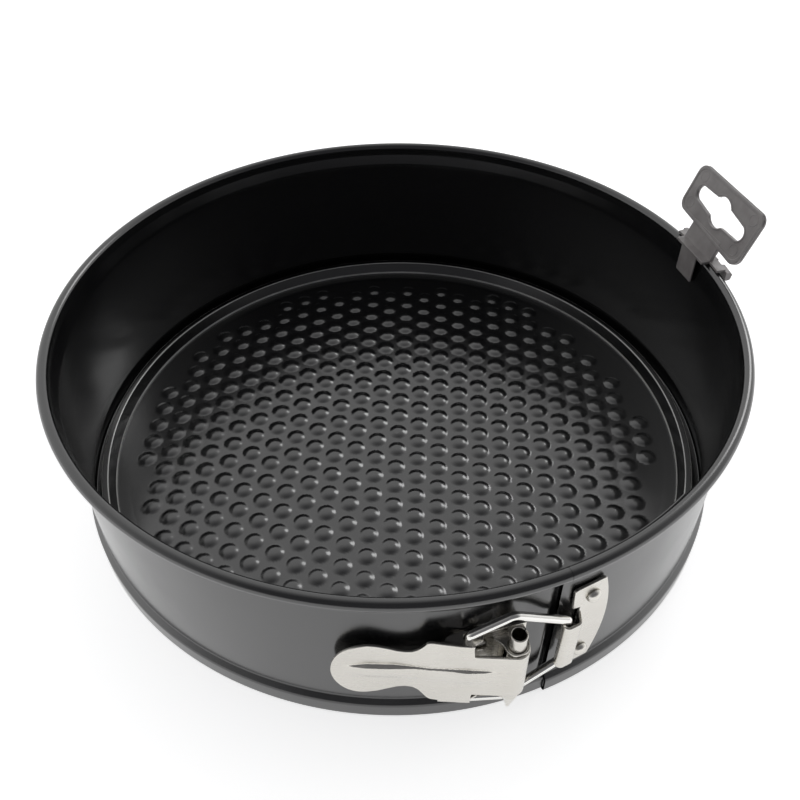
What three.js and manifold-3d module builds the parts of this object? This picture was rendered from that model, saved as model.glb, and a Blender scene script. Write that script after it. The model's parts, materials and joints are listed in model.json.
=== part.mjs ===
// Springform pan, 26 cm: a sprung steel band in two halves, a patterned base plate and an over-centre latch.
// Millimetres, +Z up. The origin is the centre of the base plate's underside. The latch is at -Y and the
// band flexes at +Y. The band's left half carries the latch lever, its right half carries the catch.
import * as THREE from "three";
import { mergeVertices } from "three/addons/utils/BufferGeometryUtils.js";
import Module from "manifold-3d";

const wasm = await Module();
wasm.setup();

// ---- Driving dimensions ----
const RIM_RADIUS = 130; // outside of the curled rim
const HEIGHT = 70; // table to the top of the rim
const BEAD_RADIUS = 2.8; // curled rim
const SHEET = 0.8; // band and base sheet
const GAP = 0.3; // running and resting clearance
const SEGMENTS = 72; // facets round the pan, shared by the band and the base so that their facets line up

// ---- Band section ----
const WALL_IN = RIM_RADIUS - 2 * BEAD_RADIUS;
const WALL_OUT = WALL_IN + SHEET;
const BEAD_CENTRE = [RIM_RADIUS - BEAD_RADIUS, HEIGHT - BEAD_RADIUS];
const GROOVE_OUT = WALL_OUT + 1.8; // bulge that takes the base's edge
const GROOVE_TOP = 9.4;
const LIP_IN = 120.6; // inner edge of the lip that the base rests on

// ---- Base plate ----
const FLOOR_RADIUS = 117.6; // inner foot of the step up to the ledge
const LEDGE_RADIUS = 120.6; // inner edge of the ledge
const LEDGE_TOP = 5.9;
const BASE_RADIUS = 123.1; // passes up inside the wall and past the hanger's tab

// ---- Overlap of the band's ends ----
const TONGUE_END_X = 47; // the left half's plain end runs inside the right half up to here
const OVERLAP_STEP = SHEET + GAP; // how far the right half stands out over the tongue
const END_GAP = 0.3; // half the slit between the two halves, front and back
const FRONT_END_X = -1.6; // middle of the front slit

// ---- Latch ----
const LATCH_Z = 33; // centre height of the latch
const PIN_ANGLE = -7.3; // degrees round from -Y towards -X
const PIN_STANDOFF = 6; // pin axis from the wall's outside
const PIN_RADIUS = 2.7;
const PIN_HALF = 17;
const PIN_BORE = 1.6;
const LEVER_SHEET = 1;
const LEVER_TILT = 18.6; // degrees, from the tangent at the pin in towards the wall
const LEVER_LENGTH = 55; // pin axis to the tip of the finger pad
const LEVER_HALF = [12.5, 16, 9.5, 13]; // half heights: hinge end, wide part, neck, finger pad
const LINK_REACH = 14.5; // pin axis to the wire's holes in the lever's ears
const LINK_INSET = 0.6; // the holes' distance outwards of the pin axis, in the lever's frame
const WIRE_RADIUS = 1.1;
const CROSSBAR_X = 1.3; // the wire's crossbar, from the middle of the pan
const CROSSBAR_RADIUS = WALL_OUT + OVERLAP_STEP + WIRE_RADIUS + 0.5;

// ---- Catch plate ----
const CATCH_SHEET = 1;
const CATCH_HALF = 21.7;
const CATCH_RIVET = [9.8, 15.2]; // along the wall, and above and below the plate's centre
const CATCH_RAISE = 1.5; // the plate's centre above the latch's centre
const CATCH_BULGE = 10.8; // control point of the plate's curved right edge

// ---- Retail hanger ----
const HANGER_ANGLE = -7; // degrees round from +X towards -Y
const TAG_WIDTH = 44;
const TAG_HEIGHT = 19.5;
const TAG_SHEET = 2;
const TAG_TILT = 20; // degrees out from the vertical
const STEM_WIDTH = 19.4;
const STEM_LENGTH = 8.6;

const root = new THREE.Group();
root.name = "springform_pan";

const COATED = { color: 0x1b1c1e, roughness: 0.25, metalness: 0.3 };
const NICKEL = { color: 0xc8c6c0, roughness: 0.3, metalness: 0.9 };
const PLASTIC = { color: 0x3a3a3e, roughness: 0.5, metalness: 0 };

// ---- Solid tools ----
function toSolid(geometry, matrix) {
  const plain = new THREE.BufferGeometry().copy(geometry);
  plain.deleteAttribute("normal");
  plain.deleteAttribute("uv");
  if (matrix) plain.applyMatrix4(matrix);
  const merged = mergeVertices(plain, 1e-3);
  return new wasm.Manifold(
    new wasm.Mesh({
      numProp: 3,
      vertProperties: new Float32Array(merged.attributes.position.array),
      triVerts: new Uint32Array(merged.index.array),
    }),
  );
}

function toGeometry(solid) {
  const { numProp, vertProperties, triVerts } = solid.getMesh();
  const points = [];
  for (let i = 0; i < vertProperties.length; i += numProp) {
    points.push(...vertProperties.slice(i, i + 3));
  }
  const geometry = new THREE.BufferGeometry();
  geometry.setAttribute("position", new THREE.Float32BufferAttribute(points, 3));
  geometry.setIndex([...triVerts]);
  geometry.computeVertexNormals();
  return geometry;
}

const joined = (solids) => solids.reduce((all, one) => all.add(one));
const radians = THREE.MathUtils.degToRad;
const shift = (x, y, z) => new THREE.Matrix4().makeTranslation(x, y, z);

// A box between two corners.
function box([x0, y0, z0], [x1, y1, z1]) {
  const geometry = new THREE.BoxGeometry(x1 - x0, y1 - y0, z1 - z0);
  return toSolid(geometry, shift((x0 + x1) / 2, (y0 + y1) / 2, (z0 + z1) / 2));
}

// A closed section of [radius, height] corners turned about Z.
function turned(section, segments = SEGMENTS) {
  const profile = [...section, section[0]].map(([r, z]) => new THREE.Vector2(r, z));
  return toSolid(new THREE.LatheGeometry(profile, segments).rotateX(Math.PI / 2));
}

const extruded = (shape, depth, curveSegments) =>
  new THREE.ExtrudeGeometry(shape, { depth, bevelEnabled: false, curveSegments });

// A flat outline pushed up along Z from z0 to z1.
function prism(outline, z0, z1) {
  const isShape = outline instanceof THREE.Shape;
  const shape = isShape ? outline : new THREE.Shape(outline.map(([x, y]) => new THREE.Vector2(x, y)));
  const geometry = extruded(shape, z1 - z0, 8);
  return toSolid(geometry, shift(0, 0, z0));
}

// A round rod or hole along Z.
function rod(radius, z0, z1, x = 0, y = 0, segments = 20) {
  const geometry = new THREE.CylinderGeometry(radius, radius, z1 - z0, segments).rotateX(Math.PI / 2);
  return toSolid(geometry, shift(x, y, (z0 + z1) / 2));
}

// Round wire of the given radius along a polyline with rounded corners.
function wire(corners, radius, bend, steps) {
  const points = corners.map((c) => new THREE.Vector3(...c));
  const path = new THREE.CurvePath();
  let from = points[0];
  for (let i = 1; i < points.length - 1; i++) {
    const before = points[i].clone().add(points[i - 1].clone().sub(points[i]).setLength(bend));
    const after = points[i].clone().add(points[i + 1].clone().sub(points[i]).setLength(bend));
    path.add(new THREE.LineCurve3(from, before));
    path.add(new THREE.QuadraticBezierCurve3(before, points[i], after));
    from = after;
  }
  path.add(new THREE.LineCurve3(from, points.at(-1)));
  const round = new THREE.Shape().absarc(0, 0, radius, 0, 2 * Math.PI);
  return toSolid(new THREE.ExtrudeGeometry(round, { extrudePath: path, steps, curveSegments: 5 }));
}

// ---- Scene ----
function place(name, solid, look, parent = root) {
  const mesh = new THREE.Mesh(toGeometry(solid), new THREE.MeshStandardMaterial(look));
  mesh.name = name;
  parent.add(mesh);
  return mesh;
}

// A frame that touches a wall of the given radius: x runs round to the right, -y points out, and
// z = 0 is at LATCH_Z.
function wallFrame(radius, angle) {
  const turn = new THREE.Group();
  turn.rotation.z = angle;
  const touch = new THREE.Group();
  touch.position.set(0, -radius, LATCH_Z);
  turn.add(touch);
  root.add(turn);
  turn.updateMatrixWorld(true);
  return touch;
}

const pinFrame = wallFrame(WALL_OUT, radians(PIN_ANGLE));
const catchRadius = WALL_OUT + OVERLAP_STEP;
const catchFrame = wallFrame(catchRadius, CATCH_RIVET[0] / catchRadius);
catchFrame.position.z += CATCH_RAISE;
catchFrame.updateMatrixWorld(true);

// ---- Rivets: a domed head outside and a shank that ends flush with the wall's inside ----
const BRACKET_RIVET = { at: [-9.5, 7.5], head: 2.2, dome: 1.2, shank: 1.2, end: -1 };
const CATCH_RIVET_SIZE = { at: [0, CATCH_RIVET[1]], head: 2.5, dome: 1.5, shank: 1.3, end: -0.75 };
const RIVET_HOLE_GAP = 0.3;
const PLATE_FACE = 1.3; // outside of a riveted plate, from the wall

function rivet({ head, dome, shank, end }) {
  const face = PLATE_FACE + 0.02;
  const curve = [0, 0.25, 0.5, 0.75, 1].map((t) => {
    const a = (t * Math.PI) / 2;
    return new THREE.Vector2(head * Math.cos(a), face + dome * Math.sin(a));
  });
  curve[4].x = 0;
  const foot = [
    [0, end],
    [shank, end],
    [shank, face],
  ];
  const profile = [...foot.map(([r, y]) => new THREE.Vector2(r, y)), ...curve];
  return toSolid(new THREE.LatheGeometry(profile, 16).rotateX(Math.PI));
}

// A hole through the wall, in the band's own frame, for a rivet that sits in a wall frame.
function rivetHole(frame, { at, shank }, sign) {
  const geometry = new THREE.CylinderGeometry(shank + RIVET_HOLE_GAP, shank + RIVET_HOLE_GAP, 8, 16);
  return toSolid(geometry, frame.matrixWorld.clone().multiply(shift(at[0], 0, sign * at[1])));
}

// ---- The band ----
// Section of the sheet: wall, rim rolled outwards, and a groove at the foot that ends in an inward lip.
function bandSection() {
  const [cx, cz] = BEAD_CENTRE;
  const underside = Math.acos((WALL_OUT - cx) / BEAD_RADIUS);
  const turns = [];
  for (let i = 0; i < 8; i++) turns.push(Math.PI * (1 - i / 8));
  for (let i = 0; i <= 4; i++) turns.push((-i / 4) * underside);
  const bead = turns.map((a) => [cx + BEAD_RADIUS * Math.cos(a), cz + BEAD_RADIUS * Math.sin(a)]);
  const outside = [
    [WALL_OUT, GROOVE_TOP],
    [GROOVE_OUT, GROOVE_TOP - 2.6],
    [GROOVE_OUT, 1.4],
    [GROOVE_OUT - 1.4, 0],
    [LIP_IN, 0],
  ];
  const inside = [
    [LIP_IN, SHEET],
    [GROOVE_OUT - 1.6, SHEET],
    [GROOVE_OUT - SHEET, 1.6],
    [GROOVE_OUT - SHEET, GROOVE_TOP - 2.8],
    [WALL_IN, GROOVE_TOP - 0.2],
  ];
  return [...bead, ...outside, ...inside].reverse();
}

// Moves a solid's points outwards by an amount that depends on the angle round from -Y towards +X.
function spread(solid, amount) {
  const geometry = toGeometry(solid);
  const p = geometry.attributes.position;
  for (let i = 0; i < p.count; i++) {
    const r = Math.hypot(p.getX(i), p.getY(i));
    const k = (r + amount(Math.atan2(p.getX(i), -p.getY(i)))) / r;
    p.setXY(i, p.getX(i) * k, p.getY(i) * k);
  }
  return toSolid(geometry);
}

// The right half stands out by OVERLAP_STEP over the tongue, and eases back to the true radius behind it.
const OVERLAP_END = radians(26);
const EASE_END = radians(140);
function overlapStep(angle) {
  const t = THREE.MathUtils.clamp((angle - OVERLAP_END) / (EASE_END - OVERLAP_END), 0, 1);
  return OVERLAP_STEP * (0.5 + 0.5 * Math.cos(Math.PI * t));
}

const FAR = 200; // past every part of the pan
const band = turned(bandSection());
const tongueStrip = turned([
  [WALL_IN, GROOVE_TOP + 0.6],
  [WALL_OUT, GROOVE_TOP + 0.6],
  [WALL_OUT, HEIGHT - 1],
  [WALL_IN, HEIGHT - 1],
]).intersect(box([FRONT_END_X - 2, -FAR, 0], [TONGUE_END_X, 0, HEIGHT]));

// The half of the pan left or right of the slit, which is at FRONT_END_X in front and at 0 behind.
function side(sign) {
  const front = FRONT_END_X + sign * END_GAP;
  const back = sign * END_GAP;
  return joined([
    box([Math.min(front, sign * FAR), -FAR, -FAR], [Math.max(front, sign * FAR), 0, FAR]),
    box([Math.min(back, sign * FAR), 0, -FAR], [Math.max(back, sign * FAR), FAR, FAR]),
  ]);
}

let bandLeft = band.intersect(side(-1)).add(tongueStrip);
let bandRight = spread(band.intersect(side(1)), overlapStep);
for (const sign of [1, -1]) {
  bandLeft = bandLeft.subtract(rivetHole(pinFrame, BRACKET_RIVET, sign));
  bandRight = bandRight.subtract(rivetHole(catchFrame, CATCH_RIVET_SIZE, sign));
}
place("band_left", bandLeft, COATED);
place("band_right", bandRight, COATED);

// ---- The base plate: flat floor, step up to a ledge, and a skirt that stands on the band's lip ----
const basePlate = turned([
  [0, 0],
  [FLOOR_RADIUS + 0.2, 0],
  [FLOOR_RADIUS + 1.2, 0.8],
  [LEDGE_RADIUS - 0.2, LEDGE_TOP - SHEET],
  [BASE_RADIUS - SHEET, LEDGE_TOP - SHEET],
  [BASE_RADIUS - SHEET, SHEET + 0.2],
  [BASE_RADIUS, SHEET + 0.2],
  [BASE_RADIUS, LEDGE_TOP - 0.4],
  [BASE_RADIUS - 0.4, LEDGE_TOP],
  [LEDGE_RADIUS - 0.6, LEDGE_TOP],
  [FLOOR_RADIUS + 0.2, 1.2],
  [FLOOR_RADIUS - 0.6, SHEET],
  [0, SHEET],
]);
place("base_plate", basePlate, COATED);

// ---- Latch bracket: a plate on the wall with an ear above and below that hold the pin ----
const EAR_INNER = 12.8;
const EAR_SHEET = 1;
const bracketOuter = EAR_INNER + EAR_SHEET;
function bracketEar(z) {
  const ear = prism(
    [
      [-6, -GAP],
      [4.6, -GAP],
      [4.5, -PIN_STANDOFF],
      [3.1, -PIN_STANDOFF - 3.1],
      [0, -PIN_STANDOFF - 4.4],
      [-3.1, -PIN_STANDOFF - 3.1],
      [-4.5, -PIN_STANDOFF],
    ],
    z,
    z + EAR_SHEET,
  );
  return ear.subtract(rod(PIN_RADIUS + GAP, z - 1, z + EAR_SHEET + 1, 0, -PIN_STANDOFF));
}
let bracket = joined([
  box([-14, -PLATE_FACE, -bracketOuter], [4.6, -GAP, bracketOuter]),
  bracketEar(EAR_INNER),
  bracketEar(-bracketOuter),
]);
for (const sign of [1, -1]) {
  const radius = BRACKET_RIVET.shank + RIVET_HOLE_GAP;
  const hole = new THREE.CylinderGeometry(radius, radius, 8, 16);
  bracket = bracket.subtract(toSolid(hole, shift(BRACKET_RIVET.at[0], 0, sign * BRACKET_RIVET.at[1])));
}
place("latch_bracket", bracket, NICKEL, pinFrame);
for (const [name, sign] of [["bracket_rivet_upper", 1], ["bracket_rivet_lower", -1]]) {
  const mesh = place(name, rivet(BRACKET_RIVET), NICKEL, pinFrame);
  mesh.position.set(BRACKET_RIVET.at[0], 0, sign * BRACKET_RIVET.at[1]);
}

// ---- Hinge pin: a rolled tube ----
const PIN_TAPER = 3; // height of the pinched lower end
const pin = turned(
  [
    [PIN_BORE, PIN_HALF],
    [PIN_BORE, PIN_TAPER - PIN_HALF],
    [PIN_BORE - 0.7, -PIN_HALF],
    [PIN_RADIUS - 1, -PIN_HALF],
    [PIN_RADIUS, PIN_TAPER - PIN_HALF],
    [PIN_RADIUS, PIN_HALF],
  ],
  20,
);
place("hinge_pin", pin, NICKEL, pinFrame).position.set(0, -PIN_STANDOFF, 0);

// ---- Latch lever: x runs from the pin to the finger pad, y points out of the pan when shut ----
const CURL_IN = PIN_RADIUS + GAP;
const CURL_OUT = CURL_IN + LEVER_SHEET;
const [HINGE_HALF, WIDE_HALF, NECK_HALF, PAD_HALF] = LEVER_HALF;
const WIDE_FROM = 12.5;
const WIDE_TO = 25;
const NECK_AT = 30.5;

function leverPlate() {
  const padMiddle = LEVER_LENGTH - PAD_HALF + 2;
  // One edge of the plate from the hinge to the tip: above the middle with s = 1, below it with s = -1.
  const edge = (shape, s) => {
    shape.lineTo(WIDE_FROM, s * HINGE_HALF);
    shape.lineTo(WIDE_FROM, s * WIDE_HALF);
    shape.lineTo(WIDE_TO, s * WIDE_HALF);
    shape.lineTo(NECK_AT - 2, s * (NECK_HALF + 0.9));
    const pad = s * PAD_HALF;
    shape.bezierCurveTo(NECK_AT + 3, s * (NECK_HALF - 1), padMiddle - 6, pad, padMiddle, pad);
    shape.bezierCurveTo(padMiddle + 7, pad, LEVER_LENGTH, pad * 0.6, LEVER_LENGTH, 0);
  };
  const lower = new THREE.Shape();
  lower.moveTo(0, 0);
  lower.lineTo(0, -HINGE_HALF);
  edge(lower, -1);
  const upper = new THREE.Shape();
  upper.moveTo(0, 0);
  upper.lineTo(0, HINGE_HALF);
  edge(upper, 1);
  const stand = new THREE.Matrix4().makeRotationX(Math.PI / 2).setPosition(0, CURL_OUT, 0);
  const halves = [lower, upper].map((shape) => toSolid(extruded(shape, LEVER_SHEET, 10), stand));
  return joined([...halves, box([0, CURL_IN, -0.5], [LEVER_LENGTH - 1, CURL_OUT, 0.5])]);
}

function leverCurl() {
  const shape = new THREE.Shape();
  const end = radians(325);
  shape.absarc(0, 0, CURL_OUT, Math.PI / 2, end, false);
  shape.absarc(0, 0, CURL_IN, end, Math.PI / 2, true);
  return prism(shape, -HINGE_HALF, HINGE_HALF);
}

function leverEar(z) {
  const ear = prism(
    [
      [WIDE_FROM, CURL_OUT],
      [22.5, CURL_OUT],
      [20.5, 0.6],
      [15.8, -1.5],
      [9.6, -1.6],
      [10.2, 1.6],
      [WIDE_FROM, CURL_IN],
    ],
    z,
    z + LEVER_SHEET,
  );
  return ear.subtract(rod(WIRE_RADIUS + 0.4, z - 1, z + 2, LINK_REACH, LINK_INSET));
}

const lever = joined([leverPlate(), leverCurl(), leverEar(WIDE_HALF - LEVER_SHEET), leverEar(-WIDE_HALF)]);
const leverFrame = new THREE.Group();
leverFrame.position.set(0, -PIN_STANDOFF, 0);
leverFrame.rotation.z = radians(180 - LEVER_TILT);
pinFrame.add(leverFrame);
place("latch_lever", lever, NICKEL, leverFrame);

// ---- Wire bail: from the lever's ears to a crossbar in the catch, spread to pass over the pin's ends ----
const crossbarAngle = CROSSBAR_X / CROSSBAR_RADIUS;
const crossbar = new THREE.Vector3(
  CROSSBAR_RADIUS * Math.sin(crossbarAngle),
  -CROSSBAR_RADIUS * Math.cos(crossbarAngle),
  LATCH_Z,
);
root.updateMatrixWorld(true);
const link = new THREE.Vector3(LINK_REACH, LINK_INSET, 0).applyMatrix4(leverFrame.matrixWorld);
const bailLength = Math.hypot(link.x - crossbar.x, link.y - crossbar.y);
const BAIL_HALF = { link: 18.5, bend: 24.5, crossbar: 13 };
const BEND_FROM_LINK = 15;
const bailFrame = new THREE.Group();
bailFrame.position.copy(crossbar);
bailFrame.rotation.z = Math.atan2(link.y - crossbar.y, link.x - crossbar.x);
root.add(bailFrame);
const bail = wire(
  [
    [bailLength, 0, BAIL_HALF.link],
    [bailLength - BEND_FROM_LINK, 0, BAIL_HALF.bend],
    [0, 0, BAIL_HALF.crossbar],
    [0, 0, -BAIL_HALF.crossbar],
    [bailLength - BEND_FROM_LINK, 0, -BAIL_HALF.bend],
    [bailLength, 0, -BAIL_HALF.link],
  ],
  WIRE_RADIUS,
  2.5,
  84,
);
place("wire_bail", bail, NICKEL, bailFrame);

// ---- Catch plate: riveted flat to the wall, with a raised hook over the crossbar ----
function catchPlate() {
  const lobeLeft = -7.6;
  const notch = 17.3;
  const outline = new THREE.Shape();
  outline.moveTo(lobeLeft, notch);
  outline.lineTo(-4.3, notch);
  outline.lineTo(-4.3, -notch);
  outline.lineTo(lobeLeft, -notch);
  outline.lineTo(lobeLeft, -CATCH_HALF);
  outline.lineTo(4, -CATCH_HALF);
  outline.quadraticCurveTo(CATCH_BULGE, 0, 4, CATCH_HALF);
  outline.lineTo(lobeLeft, CATCH_HALF);
  const stand = new THREE.Matrix4().makeRotationX(Math.PI / 2).setPosition(0, -GAP, 0);
  const flat = toSolid(extruded(outline, CATCH_SHEET, 12), stand);
  const hookOut = 5.4;
  const hookIn = hookOut - 0.9;
  const hookLeft = -12.4;
  const hookHalf = 14;
  const lipHalf = 10;
  const hook = prism(
    [
      [-3.4, -PLATE_FACE],
      [-6.4, -hookOut],
      [hookLeft, -hookOut],
      [hookLeft, -hookIn],
      [-7, -hookIn],
      [-4.6, -GAP],
      [-3.4, -GAP],
    ],
    -hookHalf - CATCH_RAISE,
    hookHalf - CATCH_RAISE,
  );
  const lip = box(
    [hookLeft, -hookIn - 0.2, -lipHalf - CATCH_RAISE],
    [hookLeft + 0.9, -0.9, lipHalf - CATCH_RAISE],
  );
  let plate = joined([flat, hook, lip]);
  for (const sign of [1, -1]) {
    const radius = CATCH_RIVET_SIZE.shank + RIVET_HOLE_GAP;
    const hole = new THREE.CylinderGeometry(radius, radius, 8, 16);
    plate = plate.subtract(toSolid(hole, shift(0, 0, sign * CATCH_RIVET[1])));
  }
  return plate;
}
place("catch_plate", catchPlate(), NICKEL, catchFrame);
for (const [name, sign] of [["catch_rivet_upper", 1], ["catch_rivet_lower", -1]]) {
  place(name, rivet(CATCH_RIVET_SIZE), NICKEL, catchFrame).position.set(0, 0, sign * CATCH_RIVET[1]);
}

// ---- Retail hanger: a moulded tag that clips over the rim. x points out of the pan, y runs round it ----
function tagPlate(tilt) {
  const corner = 4;
  const half = TAG_WIDTH / 2;
  const top = STEM_LENGTH + TAG_HEIGHT;
  const outline = new THREE.Shape();
  outline.moveTo(-STEM_WIDTH / 2, 0);
  outline.lineTo(STEM_WIDTH / 2, 0);
  outline.lineTo(STEM_WIDTH / 2, STEM_LENGTH);
  outline.lineTo(half - corner, STEM_LENGTH);
  outline.quadraticCurveTo(half, STEM_LENGTH, half, STEM_LENGTH + corner);
  outline.lineTo(half, top - corner);
  outline.quadraticCurveTo(half, top, half - corner, top);
  outline.lineTo(-half + corner, top);
  outline.quadraticCurveTo(-half, top, -half, top - corner);
  outline.lineTo(-half, STEM_LENGTH + corner);
  outline.quadraticCurveTo(-half, STEM_LENGTH, -half + corner, STEM_LENGTH);
  outline.lineTo(-STEM_WIDTH / 2, STEM_LENGTH);
  const middle = STEM_LENGTH + TAG_HEIGHT / 2;
  const slot = new THREE.Path();
  const slotEnd = 14;
  const slotHalf = 3;
  const bulge = 6;
  slot.absarc(slotEnd, middle, slotHalf, -Math.PI / 2, Math.PI / 2, false);
  slot.lineTo(bulge, middle + slotHalf);
  slot.absarc(0, middle, bulge, radians(55), radians(125), false);
  slot.lineTo(-bulge, middle + slotHalf);
  slot.absarc(-slotEnd, middle, slotHalf, Math.PI / 2, (3 * Math.PI) / 2, false);
  slot.lineTo(-bulge, middle - slotHalf);
  slot.absarc(0, middle, bulge, radians(235), radians(305), false);
  slot.lineTo(bulge, middle - slotHalf);
  outline.holes.push(slot);
  const along = new THREE.Vector3(0, 1, 0);
  const up = new THREE.Vector3(Math.sin(tilt), 0, Math.cos(tilt));
  const out = new THREE.Vector3().crossVectors(along, up);
  const stand = new THREE.Matrix4().makeBasis(along, up, out).setPosition(126.4, 0, HEIGHT + 0.6);
  return toSolid(extruded(outline, TAG_SHEET, 6), stand);
}

function hangerClip() {
  const inner = BASE_RADIUS + 0.4;
  const tabSheet = 0.65;
  const tabHalf = 5.5;
  const tab = box([inner, -tabHalf, HEIGHT - 11], [inner + tabSheet, tabHalf, HEIGHT + 1]);
  const half = STEM_WIDTH / 2;
  const bridge = box([inner, -half, HEIGHT + GAP], [RIM_RADIUS + 1.4, half, HEIGHT + 1.6]);
  const legIn = RIM_RADIUS + 0.4 + OVERLAP_STEP;
  const legs = turned([
    [legIn, HEIGHT - 4.5],
    [legIn + 1.2, HEIGHT - 4.5],
    [legIn + 1.2, HEIGHT + 1.4],
    [legIn, HEIGHT + 1.4],
  ]).intersect(box([0, -19, 0], [FAR, 19, FAR]));
  return [tab, bridge, legs];
}

const hangerFrame = new THREE.Group();
hangerFrame.rotation.z = radians(HANGER_ANGLE);
root.add(hangerFrame);
place("rim_hanger", joined([...hangerClip(), tagPlate(radians(TAG_TILT))]), PLASTIC, hangerFrame);

export default root;
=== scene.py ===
import json
import math

import bpy
import numpy as np
from mathutils import Matrix, Vector


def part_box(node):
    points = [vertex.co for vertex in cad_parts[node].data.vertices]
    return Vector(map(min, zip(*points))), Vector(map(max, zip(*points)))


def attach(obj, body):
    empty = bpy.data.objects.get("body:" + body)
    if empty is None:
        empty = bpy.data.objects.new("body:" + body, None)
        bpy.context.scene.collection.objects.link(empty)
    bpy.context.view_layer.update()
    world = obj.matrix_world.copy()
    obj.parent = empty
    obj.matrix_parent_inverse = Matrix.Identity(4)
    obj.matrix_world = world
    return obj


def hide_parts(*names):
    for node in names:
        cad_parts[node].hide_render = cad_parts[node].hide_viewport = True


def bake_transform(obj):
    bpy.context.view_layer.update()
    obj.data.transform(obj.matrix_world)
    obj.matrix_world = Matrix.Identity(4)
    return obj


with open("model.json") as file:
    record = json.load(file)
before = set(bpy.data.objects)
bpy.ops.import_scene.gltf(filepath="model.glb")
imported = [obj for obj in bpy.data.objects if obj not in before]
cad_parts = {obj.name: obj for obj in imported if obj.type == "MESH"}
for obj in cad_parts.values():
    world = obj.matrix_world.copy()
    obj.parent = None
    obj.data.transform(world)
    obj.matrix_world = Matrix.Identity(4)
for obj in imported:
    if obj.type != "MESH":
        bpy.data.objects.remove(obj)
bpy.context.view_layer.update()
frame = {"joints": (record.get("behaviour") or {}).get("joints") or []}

# Lengths in this file are in millimetres; meshes are written in metres.
MM = 0.001
FINE = 1e-9


# ---- Where the CAD model has its pieces ----
def cad_mm(node):
    low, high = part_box(node)
    return np.array(low) / MM, np.array(high) / MM


joint_at = {j["name"]: np.array(j["pos_m"]) / MM for j in frame["joints"] if "pos_m" in j}

RIM = -cad_mm("band_left")[0][0]
HEIGHT = cad_mm("band_left")[1][2]
TONGUE_X = cad_mm("band_left")[1][0]
BASE_R = cad_mm("base_plate")[1][0]
LEDGE_Z = cad_mm("base_plate")[1][2]
BEAD = 2.05
LIP_IN = 5.2  # the wall's middle is this far inside the rim's outside
SHEET = 0.8
WALL = RIM - LIP_IN
OVERLAP = 1.1  # how far the right half stands out over the left half's end
JOINT_GAP = 0.12  # between the two halves' rims
FRONT_RIGHT_X = cad_mm("band_right")[0][0]
FRONT_LEFT_X = FRONT_RIGHT_X - JOINT_GAP
PIN_AT = joint_at["lever_pivot"]
CROSSBAR_AT = joint_at["wire_pivot"]
LATCH_Z = PIN_AT[2]


# ---- Materials ----
def new_material(name, color, metallic, roughness, ior=1.5):
    material = bpy.data.materials.new(name)
    material.use_nodes = True
    shader = material.node_tree.nodes["Principled BSDF"]
    shader.inputs["Base Color"].default_value = (*color, 1)
    shader.inputs["Metallic"].default_value = metallic
    shader.inputs["Roughness"].default_value = roughness
    shader.inputs["IOR"].default_value = ior
    return material, shader


def node(material, kind, **values):
    made = material.node_tree.nodes.new(kind)
    for key, value in values.items():
        if key in made.inputs:
            made.inputs[key].default_value = value
        else:
            setattr(made, key, value)
    return made


def noise(material, scale, detail=3.0, stretch=(1, 1, 1)):
    """A noise value in the piece's own coordinates, scale in waves per metre."""
    link = material.node_tree.links.new
    where = node(material, "ShaderNodeTexCoord")
    mapping = node(material, "ShaderNodeMapping")
    mapping.inputs["Scale"].default_value = stretch
    made = node(material, "ShaderNodeTexNoise", Scale=scale, Detail=detail)
    link(where.outputs["Object"], mapping.inputs["Vector"])
    link(mapping.outputs["Vector"], made.inputs["Vector"])
    return made.outputs["Fac"]


def spread_value(material, value, low, high):
    """The middle of a noise value's range, stretched from low to high."""
    made = node(material, "ShaderNodeMapRange")
    made.inputs["From Min"].default_value = 0.3
    made.inputs["From Max"].default_value = 0.7
    made.inputs["To Min"].default_value = low
    made.inputs["To Max"].default_value = high
    material.node_tree.links.new(value, made.inputs["Value"])
    return made.outputs["Result"]


def tint(material, shader, value, low, high):
    """Mixes two colours by a value."""
    mix = node(material, "ShaderNodeMix", data_type="RGBA")
    mix.inputs[6].default_value = (*low, 1)
    mix.inputs[7].default_value = (*high, 1)
    link = material.node_tree.links.new
    link(value, mix.inputs[0])
    link(mix.outputs[2], shader.inputs["Base Color"])


def bump(material, shader, value, height):
    """Relief from a value, with its height in metres."""
    made = node(material, "ShaderNodeBump", Strength=1.0, Distance=height)
    link = material.node_tree.links.new
    link(value, made.inputs["Height"])
    link(made.outputs["Normal"], shader.inputs["Normal"])


def math_node(material, operation, first, second=None):
    """The result of one sum on values that are numbers or other nodes' outputs."""
    made = material.node_tree.nodes.new("ShaderNodeMath")
    made.operation = operation
    for socket, value in zip(made.inputs, (first, second)):
        if isinstance(value, (int, float)):
            socket.default_value = value
        elif value is not None:
            material.node_tree.links.new(value, socket)
    return made.outputs[0]


def painted_edge_highlights(material, shader, radii):
    """Thin light rings painted on the pressed edges as painted highlights, by distance from the middle."""
    link = material.node_tree.links.new
    where = node(material, "ShaderNodeTexCoord")
    split = node(material, "ShaderNodeSeparateXYZ")
    link(where.outputs["Object"], split.inputs["Vector"])
    x, y = (math_node(material, "MULTIPLY", split.outputs[i], split.outputs[i]) for i in (0, 1))
    radius = math_node(material, "SQRT", math_node(material, "ADD", x, y))
    painted_highlight = 0.0
    for ring, half in radii:
        away = math_node(material, "ABSOLUTE", math_node(material, "SUBTRACT", radius, ring * MM))
        painted_highlight = math_node(material, "MAXIMUM", math_node(material, "LESS_THAN", away, half * MM), painted_highlight)
    patchy = spread_value(material, noise(material, 35, 4), 0.45, 1.0)
    # Painted highlight: a light grey mixed into the coating's colour on the step rings, broken up by noise.
    mix = node(material, "ShaderNodeMix", data_type="RGBA")
    mix.inputs[7].default_value = (0.6, 0.6, 0.58, 1)
    link(shader.inputs["Base Color"].links[0].from_socket, mix.inputs[6])
    link(math_node(material, "MULTIPLY", painted_highlight, patchy), mix.inputs[0])
    link(mix.outputs[2], shader.inputs["Base Color"])


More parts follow.
